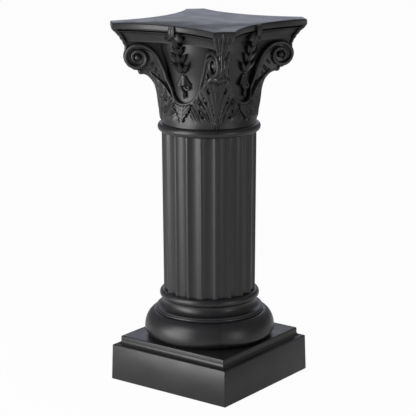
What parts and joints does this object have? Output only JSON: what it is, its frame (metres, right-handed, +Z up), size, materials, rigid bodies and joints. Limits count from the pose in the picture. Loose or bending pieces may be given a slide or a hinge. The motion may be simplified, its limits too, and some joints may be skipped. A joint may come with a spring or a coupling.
{
  "type": "moulded column pedestal",
  "caption": "Freestanding column pedestal: square plinth, round base, fluted shaft and leafy capital with corner volutes under a flat hollow-sided top that holds a vase, plant or bust.",
  "frame": {"origin": "middle of the plinth's underside, on the floor", "axes": "+Z up along the column's axis; the plinth's four faces look along X and Y, and its corners, the volutes and the big leaves lie on the diagonals"},
  "size_m": [0.3328, 0.3328, 0.81],
  "materials": {
    "black_plastic": "satin black moulded polyethylene, fine moulded grain"
  },
  "bodies": {
    "root": {"column": "black_plastic"}
  },
  "joints": []
}
